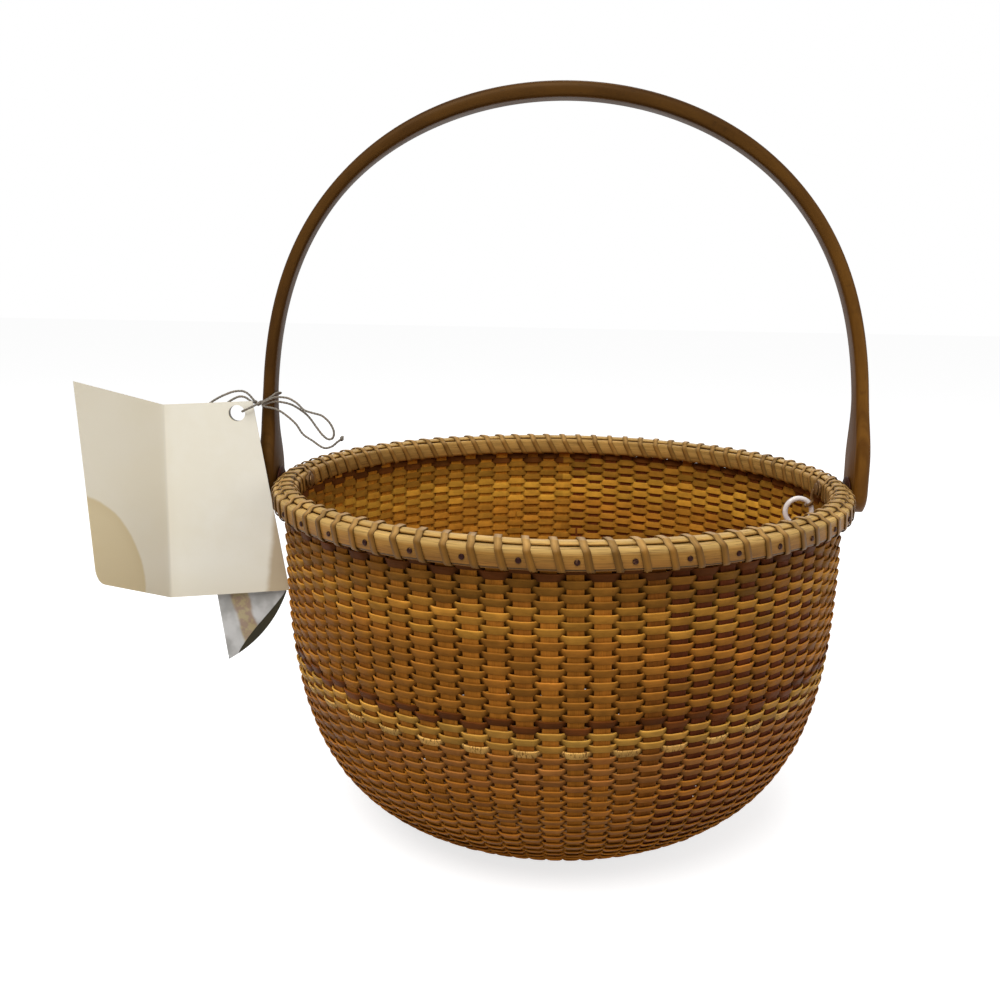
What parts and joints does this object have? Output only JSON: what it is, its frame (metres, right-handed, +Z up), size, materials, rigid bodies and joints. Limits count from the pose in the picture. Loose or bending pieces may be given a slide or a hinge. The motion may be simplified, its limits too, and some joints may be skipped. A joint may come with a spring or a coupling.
{
  "type": "nantucket basket",
  "caption": "Round woven cane basket on a turned wooden base, with nailed and lashed hoop rims, a swinging bent-wood handle on side pivots and a folded paper tag tied on with twine",
  "frame": {"origin": "On the surface it stands on, under the middle of the base board", "axes": "+Z up, +X through the right-hand handle pivot, +Y away from the picture's camera"},
  "size_m": [0.3373, 0.2547, 0.3178],
  "materials": {
    "board_wood": "satin varnished turned hardwood",
    "cane_weave": "honey brown aged cane over staves, satin",
    "hoop_cane": "tan split cane with fine fibre lines, satin",
    "lashing_cane": "glossy tan binder cane",
    "handle_wood": "dark olive brown bent hardwood, satin",
    "dark_wood": "near black maroon hardwood",
    "aged_brass": "darkened metal, dull",
    "white_ring": "smooth off-white",
    "card_paper": "cream card with a brown stain, matt",
    "leaf_paper": "pale printed paper with a dark edge band, semi-matt",
    "grey_twine": "grey-tan twisted twine, dull"
  },
  "bodies": {
    "basket": {"base_board": "board_wood", "woven_wall": "cane_weave", "inner_rim": "hoop_cane", "outer_rim": "hoop_cane", "rim_filler": "hoop_cane", "rim_lashing": "lashing_cane", "pivot_rivet_left": "aged_brass", "pivot_pin_right": "aged_brass", "spacer_washer_left": "dark_wood", "spacer_washer_right": "dark_wood", "clinch_washer_left": "aged_brass", "clinch_washer_right": "aged_brass", "rim_nail_01": "aged_brass", "rim_nail_02": "aged_brass", "rim_nail_03": "aged_brass", "rim_nail_04": "aged_brass", "rim_nail_05": "aged_brass", "rim_nail_06": "aged_brass", "rim_nail_07": "aged_brass", "rim_nail_08": "aged_brass", "rim_nail_09": "aged_brass", "rim_nail_10": "aged_brass", "rim_nail_11": "aged_brass", "rim_nail_12": "aged_brass", "rim_nail_13": "aged_brass", "rim_nail_14": "aged_brass", "rim_nail_15": "aged_brass", "rim_nail_16": "aged_brass", "rim_nail_17": "aged_brass", "rim_nail_18": "aged_brass", "rim_nail_19": "aged_brass", "rim_nail_20": "aged_brass", "rim_nail_21": "aged_brass", "rim_nail_22": "aged_brass", "rim_nail_23": "aged_brass", "rim_nail_24": "aged_brass", "rim_nail_25": "aged_brass", "rim_nail_26": "aged_brass", "rim_nail_27": "aged_brass", "rim_nail_28": "aged_brass", "rim_nail_29": "aged_brass", "rim_nail_30": "aged_brass", "rim_nail_31": "aged_brass", "rim_nail_32": "aged_brass", "rim_nail_33": "aged_brass", "rim_nail_34": "aged_brass", "rim_nail_35": "aged_brass", "rim_nail_36": "aged_brass", "rim_nail_37": "aged_brass"},
    "handle": {"handle": "handle_wood", "string_knot": "grey_twine", "string_collar": "grey_twine", "string_bow": "grey_twine", "string_tail": "grey_twine", "string_left_loop": "grey_twine", "string_hanger": "grey_twine"},
    "keeper": {"keeper_ring": "white_ring"},
    "tag": {"tag_card": "card_paper"},
    "leaflet": {"tag_leaflet": "leaf_paper"}
  },
  "joints": [
    {"name": "handle_swing", "type": "hinge", "parent": "basket", "child": "handle", "pos_m": [0, 0, 0.1467], "axis": [1, 0, 0], "range_deg": [-140, 140], "deforming": ["string_bow", "string_tail"]},
    {"name": "tag_swing", "type": "hinge", "parent": "handle", "child": "tag", "pos_m": [-0.1398, -0.0122, 0.1788], "axis": [0, 1, 0], "range_deg": [0, 60]},
    {"name": "leaflet_swing", "type": "hinge", "parent": "handle", "child": "leaflet", "pos_m": [-0.1398, -0.0107, 0.1788], "axis": [0, 1, 0], "range_deg": [0, 40]},
    {"name": "keeper_turn", "type": "hinge", "parent": "basket", "child": "keeper", "pos_m": [0.10697, 0, 0.13626], "axis": [0, 1, 0], "continuous": true}
  ]
}
